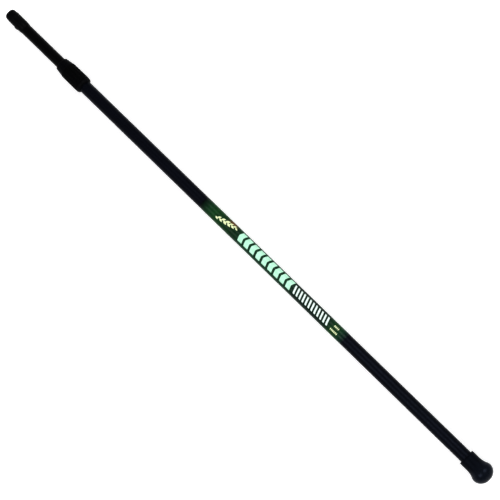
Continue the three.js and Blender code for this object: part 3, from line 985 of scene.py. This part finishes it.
def threaded_sleeve():
    """The sleeve riveted to the main tube: a rounded shoulder, a thread and a stop lip."""
    start, end, _ = span("threaded_sleeve")
    socket = OUTER_RADIUS + FIXED_GAP
    lip = span("outer_tube")[1] + FIXED_GAP
    shoulder = start + SHOULDER_LENGTH
    rise = SHOULDER_RADIUS - REAR_RADIUS
    curve = quarter_ellipse(shoulder, -SHOULDER_LENGTH, REAR_RADIUS, rise, 12)[:0:-1]
    thread_end = end - THREAD_RUNOUT
    steps = int((thread_end - THREAD_START) / THREAD_STEP)
    step = (thread_end - THREAD_START) / steps
    thread = [(THREAD_START + step * i, THREAD_ROOT) for i in range(steps + 1)]
    section = curve + rounded([
        (shoulder - 0.4, SHOULDER_RADIUS), (shoulder, SHOULDER_RADIUS, 0.25),
        (shoulder, THREAD_ROOT, 0.4), (THREAD_START - 0.5, THREAD_ROOT),
    ], closed=False) + thread + rounded([
        (end - 0.7, THREAD_ROOT), (end, THREAD_ROOT, 0.4), (end, LIP_RADIUS, SOFT),
        (lip, LIP_RADIUS, CRISP), (lip, socket), (start, socket, 0.1), (start, REAR_RADIUS),
    ], closed=False)
    sleeve = turned(
        "threaded_sleeve_body", section, segments=FINE_SEGMENTS,
        shape=lambda x, radius, angle: thread_height(x, radius, angle, thread_end),
    )
    keyways = key_boxes(
        end - KEY_LENGTH - END_GAP, end + TOOL_REACH, KEY_INNER - END_GAP,
        THREAD_CREST + TOOL_REACH, KEY_WIDTH + 2 * END_GAP,
    )
    combine(sleeve, rivet_drills() + keyways)
    return add(sleeve, "outer_pole", "lock_plastic", "threaded_sleeve")


def sleeve_rivets():
    """Countersunk rivets, flush inside and out, so that the bush and the nut slide past."""
    for node, angle in (("sleeve_rivet_a", 0), ("sleeve_rivet_b", math.pi)):
        inner = OUTER_BORE + RIVET_SUNK
        outer = THREAD_ROOT - FIXED_GAP
        profile = [
            (inner, 0), (inner, RIVET_RADIUS - 0.2), (inner + 0.2, RIVET_RADIUS),
            (outer - 0.5, RIVET_RADIUS), (outer - 0.25, RIVET_RADIUS - 0.06),
            (outer - 0.08, RIVET_RADIUS - 0.35), (outer, RIVET_RADIUS - 0.9), (outer, 0),
        ]
        piece = radial_profile(f"{node}_head", profile, middle(node), angle)
        add(piece, "outer_pole", "rivet", node)


def collet():
    """The split collet: four sprung fingers on a ring with three keys."""
    key_start, end, _ = span("split_collet")
    start = key_start + KEY_LENGTH
    bore = INNER_RADIUS + SLIDING_GAP
    section = rounded([
        (start, COLLET_BASE_RADIUS, SOFT), (start + COLLET_BASE_LENGTH, COLLET_BASE_RADIUS, 0.6),
        (end, CONE_TIP_RADIUS, 0.35), (end, bore, SOFT), (start, bore, 0.4),
    ])
    ring = turned("split_collet_ring", section)
    keys = key_boxes(key_start, start + KEY_OVERLAP, KEY_INNER, KEY_OUTER, KEY_WIDTH)
    combine(ring, keys, "UNION")
    reach = COLLET_BASE_RADIUS + TOOL_REACH
    slots = [
        saw(start + COLLET_SOLID_LENGTH, end + TOOL_REACH, -reach, reach, COLLET_SLOT_WIDTH, angle)
        for angle in (0, math.pi / 2)
    ]
    combine(ring, slots)
    return add(ring, "collet", "nylon", "split_collet")


def nut():
    """The lock nut's hard body, which shows as the cone in front of the grip."""
    start, end, radius = span("lock_nut")
    cone_start = start + CONE_FROM_REAR
    cone_end = start + CONE_END_FROM_REAR
    wiper_start, _, wiper_radius = span("wiper_ring")
    recess = wiper_radius + FIXED_GAP
    web = INNER_RADIUS + TURNING_GAP + FIXED_GAP
    web_end = wiper_start - END_GAP
    bead = THREAD_ROOT + FIXED_GAP
    section = rounded([
        (start, radius, SOFT), (NUT_STEP, radius, CRISP), (end - NOSE_LENGTH, NOSE_RADIUS, 0.6),
        (end - 0.5, NOSE_RADIUS - 0.15, 1.0), (end, MOUTH_RADIUS, SOFT), (end, recess, 0.15),
        (web_end, recess, 0.15), (web_end, web, CRISP), (cone_end, web, CRISP),
        (cone_end, CONE_END_RADIUS, SOFT), (cone_start, CONE_START_RADIUS, 0.5),
        (cone_start - 1, NUT_BORE, SOFT), (start + NUT_BEAD, NUT_BORE, SOFT),
        (start + NUT_BEAD - 0.4, bead, SOFT), (start, bead, SOFT),
    ])
    return add(turned("lock_nut_body", section), "nut", "lock_plastic", "lock_nut")


def grip_radius(x, radius, angle, start, end, outside_from):
    """Shallow flutes that fade out before the grip's ends."""
    if radius < outside_from:
        return radius
    fade = clamped(min(x - start - FLUTE_MARGIN, end - FLUTE_MARGIN - x) / FLUTE_FADE)
    fade = fade * fade * (3 - 2 * fade)
    flute = 0.5 - 0.5 * math.cos(FLUTES * angle)
    return radius - FLUTE_DEPTH * flute * fade


def grip():
    """The rubber cover on the nut."""
    start, end, radius = span("nut_grip")
    bore = span("lock_nut")[2] + GRIP_GAP
    outer = rounded([
        (start, bore), (start, radius - 0.3, 0.5), (start + 2, radius, 4), (end - 3, radius - 0.25, 2),
        (end - 0.5, radius - 0.5, 0.6), (end, bore + 0.35, CRISP), (end, bore),
    ], closed=False, steps=6)
    piece = turned(
        "nut_grip_cover", filled(outer, 0.7), segments=FINE_SEGMENTS,
        shape=lambda x, r, angle: grip_radius(x, r, angle, start, end, radius - GRIP_EDGE),
    )
    return add(piece, "nut", "grip_rubber", "nut_grip")


def wiper():
    """The soft ring at the nut's mouth that keeps grit out."""
    start, end, radius = span("wiper_ring")
    bore = INNER_RADIUS + SLIDING_GAP
    relief = 0.4  # behind the lip, the bore stands this far clear of the tube
    section = rounded([
        (start, radius, CRISP), (end - 0.7, radius, CRISP), (end - 0.2, radius - 0.35, CRISP),
        (end, radius - 0.7, 0.1), (end, bore, 0.15), (end - 1, bore, CRISP),
        (end - 1 - relief, bore + relief, CRISP), (start, bore + relief, CRISP),
    ], steps=3)
    return add(turned("wiper_lip", section), "nut", "wiper_rubber", "wiper_ring")


# ---------------------------------------------------------------- inner tube and its lower end


def pin_drill():
    """The tool for the hole right through the inner tube and its plug."""
    reach = INNER_RADIUS + TOOL_REACH
    return drill(middle("end_plug_pin"), 0, RIVET_HOLE_RADIUS, -reach, reach)


def tip_drills():
    """Tools for the holes under the snap button and the tip's rivet."""
    inner = INNER_BORE - TOOL_REACH
    outer = TIP_RADIUS + TOOL_REACH
    return [
        drill(middle("snap_button"), math.pi / 2, BUTTON_HOLE_RADIUS, inner, outer),
        drill(middle("tip_rivet"), math.pi, RIVET_HOLE_RADIUS, inner, outer),
    ]


def thin_tube():
    section = tube_section("inner_tube", INNER_BORE)
    tube = combine(turned("thin_tube", section), tip_drills() + [pin_drill()])
    return add(tube, "inner_pole", "thin_tube_coat", "inner_tube")


def lower_plug():
    """The plug in the inner tube's lower end, with the journal that the bush turns on."""
    start, end, radius = span("end_plug")
    bush_start, bush_end, _ = span("guide_bush")
    journal = BUSH_BORE - TURNING_GAP
    spigot = INNER_BORE - FIXED_GAP
    head_end = bush_start - END_GAP
    flange_start = bush_end + END_GAP
    flange_end = flange_start + PLUG_FLANGE
    section = rounded([
        (start, 0), (start, radius, 1.0), (head_end, radius, SOFT), (head_end, journal, SOFT),
        (flange_start, journal, SOFT), (flange_start, radius, SOFT), (flange_end, radius, SOFT),
        (flange_end, spigot, CRISP), (end, spigot, 1.0), (end, 0),
    ], closed=False)
    plug = combine(turned("lower_plug", section, closed=False), [pin_drill()])
    return add(plug, "inner_pole", "tip_plastic", "end_plug")


def plug_pin():
    """The pin through the inner tube and its plug, with rounded ends."""
    low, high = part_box("end_plug_pin")
    half = (high[2] - low[2]) / 2 / MM
    profile = [
        (-half, 0), (-half, RIVET_RADIUS - 0.4), (-half + 0.12, RIVET_RADIUS - 0.12),
        (-half + 0.4, RIVET_RADIUS), (half - 0.4, RIVET_RADIUS),
        (half - 0.12, RIVET_RADIUS - 0.12), (half, RIVET_RADIUS - 0.4), (half, 0),
    ]
    pin = radial_profile("lower_plug_pin", profile, middle("end_plug_pin"), 0)
    return add(pin, "inner_pole", "rivet", "end_plug_pin")


def bush():
    """The split guide bush, with three shallow grooves that hold grease."""
    start, end, radius = span("guide_bush")
    groove_depth, groove_half, bottom_half = 0.35, 1.2, 0.7
    corners = [(start, radius - 0.5, SOFT), (start + 1, radius, 0.5)]
    for share in (0.25, 0.5, 0.75):
        x = start + (end - start) * share
        corners += [
            (x - groove_half, radius, CRISP), (x - bottom_half, radius - groove_depth, CRISP),
            (x + bottom_half, radius - groove_depth, CRISP), (x + groove_half, radius, CRISP),
        ]
    corners += [
        (end - 1, radius, SOFT), (end, radius - 0.1, 0.1), (end, BUSH_BORE, 0.4), (start, BUSH_BORE, 0.4),
    ]
    sleeve = turned("split_bush", rounded(corners, steps=3))
    reach = radius + TOOL_REACH
    slit = saw(start - TOOL_REACH, end + TOOL_REACH, 0, reach, BUSH_SLIT, math.pi / 2)
    combine(sleeve, [slit])
    return add(sleeve, "bush", "nylon", "guide_bush")


# ---------------------------------------------------------------- tip sleeve and snap button


def tip():
    """The closed sleeve that a net's socket slides over."""
    start, end, radius = span("tip_sleeve")
    socket = INNER_RADIUS + TIP_GAP
    rise = TIP_NECK_RADIUS - TIP_FLAT_RADIUS
    nose = quarter_ellipse(end - TIP_ROUND_LENGTH, TIP_ROUND_LENGTH, TIP_FLAT_RADIUS, rise, 14)
    side = rounded([
        (start, socket), (start, TIP_REAR_RADIUS, 0.15), (end - TIP_TAPER_AT, radius, 6),
        (end - TIP_FULL_AT, radius, 6), nose[0],
    ], closed=False, steps=8)
    section = side[:-1] + nose + [(end, 0)]
    inside = rounded([
        (end - TIP_WALL, 0), (end - TIP_WALL, socket, 0.4), (start, socket),
    ], closed=False)
    sleeve = turned("tip_cover", section + inside, closed=False)
    combine(sleeve, tip_drills())
    return add(sleeve, "inner_pole", "tip_plastic", "tip_sleeve")


def tip_rivet_head():
    """The tip's rivet: a low dome, just below the sleeve's surface."""
    outer = TIP_RADIUS - 0.1
    inner = INNER_BORE - 0.6
    height = 0.7
    profile = [(inner, 0), (inner, RIVET_RADIUS - CRISP), (inner + CRISP, RIVET_RADIUS)]
    profile += quarter_ellipse(outer - height, height, 0, RIVET_RADIUS, 8)
    piece = radial_profile("tip_rivet_head", profile, middle("tip_rivet"), math.pi)
    return add(piece, "inner_pole", "rivet", "tip_rivet")


def spring_leg(name, path, y, steps=4):
    """A leg that goes on from its first points, round a soft corner, to a flat pad at y."""
    corner, pad_end = Vector((PAD_START, y)), Vector((PAD_END, y))
    start = corner + (Vector(path[-1]) - corner).normalized() * PAD_BEND_REACH
    end = corner + (pad_end - corner).normalized() * PAD_BEND_REACH
    for i in range(steps + 1):
        t = i / steps
        path.append(tuple(start * (1 - t) ** 2 + corner * 2 * t * (1 - t) + end * t ** 2))
    return strip(name, path + [tuple(pad_end)])


def spring_legs():
    """The V spring, split at its bend: the leg that is held and the leg that moves."""
    bend = [
        (HINGE_X + BEND_RADIUS * math.cos(a), BEND_RADIUS * math.sin(a))
        for a in (math.pi / 2 + math.pi * i / 14 for i in range(15))
    ]
    fixed = spring_leg("spring_held_leg", bend, -FIXED_PAD)
    add(fixed, "inner_pole", "spring_steel", "spring_fixed_leg")
    moving = spring_leg("spring_sprung_leg", [(HINGE_X + END_GAP, BEND_RADIUS)], MOVING_PAD)
    combine(moving, [drill(
        middle("snap_button"), math.pi / 2, RIVET_HOLE_RADIUS,
        MOVING_PAD - TOOL_REACH, MOVING_PAD + TOOL_REACH,
    )])
    add(moving, "button", "spring_steel", "spring_moving_leg")


def button():
    """The snap button: a domed head, a shank through the spring and a peened tail."""
    low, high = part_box("snap_button")
    top = high[1] / MM
    tail = low[1] / MM
    radius = (high[0] - low[0]) / 2 / MM
    head = MOVING_PAD + STRIP_THICKNESS / 2 + FIXED_GAP
    back = MOVING_PAD - STRIP_THICKNESS / 2 - FIXED_GAP
    profile = [
        (tail, 0), (tail, TAIL_RADIUS - 0.7), (tail + 0.15, TAIL_RADIUS - 0.2),
        (tail + 0.4, TAIL_RADIUS), (back, TAIL_RADIUS), (back, RIVET_RADIUS),
        (head, RIVET_RADIUS), (head, radius - SOFT), (head + SOFT, radius),
    ] + quarter_ellipse(top - DOME_HEIGHT, DOME_HEIGHT, 0, radius, 12)
    piece = radial_profile("snap_button_head", profile, middle("snap_button"), math.pi / 2, SEGMENTS)
    return add(piece, "button", "button_plastic", "snap_button")


for build in (
    main_tube, tube_plug, foot, film, film_overlap, arrows, slants, sprig, small_rows,
    threaded_sleeve, sleeve_rivets, collet, nut, grip, wiper,
    thin_tube, lower_plug, plug_pin, bush, tip, tip_rivet_head, spring_legs, button,
):
    build()

# ---------------------------------------------------------------- stage, light and camera


def floor():
    """A flat, pale floor, far wider than any view."""
    half = 60.0  # in metres
    mesh = bmesh.new()
    corners = [(-half, -half), (half, -half), (half, half), (-half, half)]
    mesh.faces.new([mesh.verts.new((x, y, 0)) for x, y in corners])
    data = bpy.data.meshes.new("floor")
    mesh.to_mesh(data)
    mesh.free()
    data.materials.append(floor_paint())
    placed("floor", data)


def softbox(name, side):
    """A broad, even light from one side of the handle, tilted a little towards its foot."""
    lean = math.radians(33)
    lamp = bpy.data.lights.new(name, "SUN")
    lamp.energy = 2.2
    lamp.angle = math.radians(34)
    light = placed(name, lamp)
    towards = Vector((-0.06, side * math.sin(lean), math.cos(lean)))
    light.rotation_mode = "QUATERNION"
    light.rotation_quaternion = towards.to_track_quat("Z", "Y")


def surroundings():
    """Dim studio walls, white near the horizon so that the floor has no visible end."""
    world = bpy.data.worlds.new("studio")
    world.use_nodes = True
    bpy.context.scene.world = world
    nodes, links = world.node_tree.nodes, world.node_tree.links
    direction = nodes.new("ShaderNodeTexCoord").outputs["Generated"]
    parts = nodes.new("ShaderNodeSeparateXYZ")
    links.new(direction, parts.inputs[0])
    ramp = nodes.new("ShaderNodeValToRGB")
    stops = ((0.1, (1, 1, 1, 1)), (0.3, (0.16, 0.16, 0.165, 1)))
    for element, (height, colour) in zip(ramp.color_ramp.elements, stops):
        element.position = height
        element.color = colour
    links.new(parts.outputs["Z"], ramp.inputs["Fac"])
    links.new(ramp.outputs["Color"], nodes["Background"].inputs["Color"])


def camera():
    """Looks down at the handle from a little towards its foot, with the handle on a diagonal.

    Lengths are in metres here, and in mm for the lens and its sensor."""
    aim = Vector((-0.0248, 0.00356, 0.01885))
    distance = 2.64
    tilt = math.radians(9.478)
    roll = math.radians(-45.8)
    back = Vector((-math.sin(tilt), 0, math.cos(tilt)))
    along = Vector((math.cos(tilt), 0, math.sin(tilt)))
    side = Vector((0, -1, 0))
    right = side * math.cos(roll) + along * math.sin(roll)
    up = along * math.cos(roll) - side * math.sin(roll)
    lens = bpy.data.cameras.new("camera")
    lens.sensor_width = 36
    lens.lens = 114.9
    lens.clip_start = 0.05
    lens.clip_end = 300
    viewer = placed("camera", lens)
    turn = Matrix((right, up, back)).transposed().to_4x4()
    viewer.matrix_world = Matrix.Translation(aim + back * distance) @ turn
    bpy.context.scene.camera = viewer


floor()
softbox("softbox_left", 1)
softbox("softbox_right", -1)
surroundings()
camera()
bpy.context.scene.view_settings.view_transform = "Standard"
bpy.context.scene.view_settings.gamma = 0.75
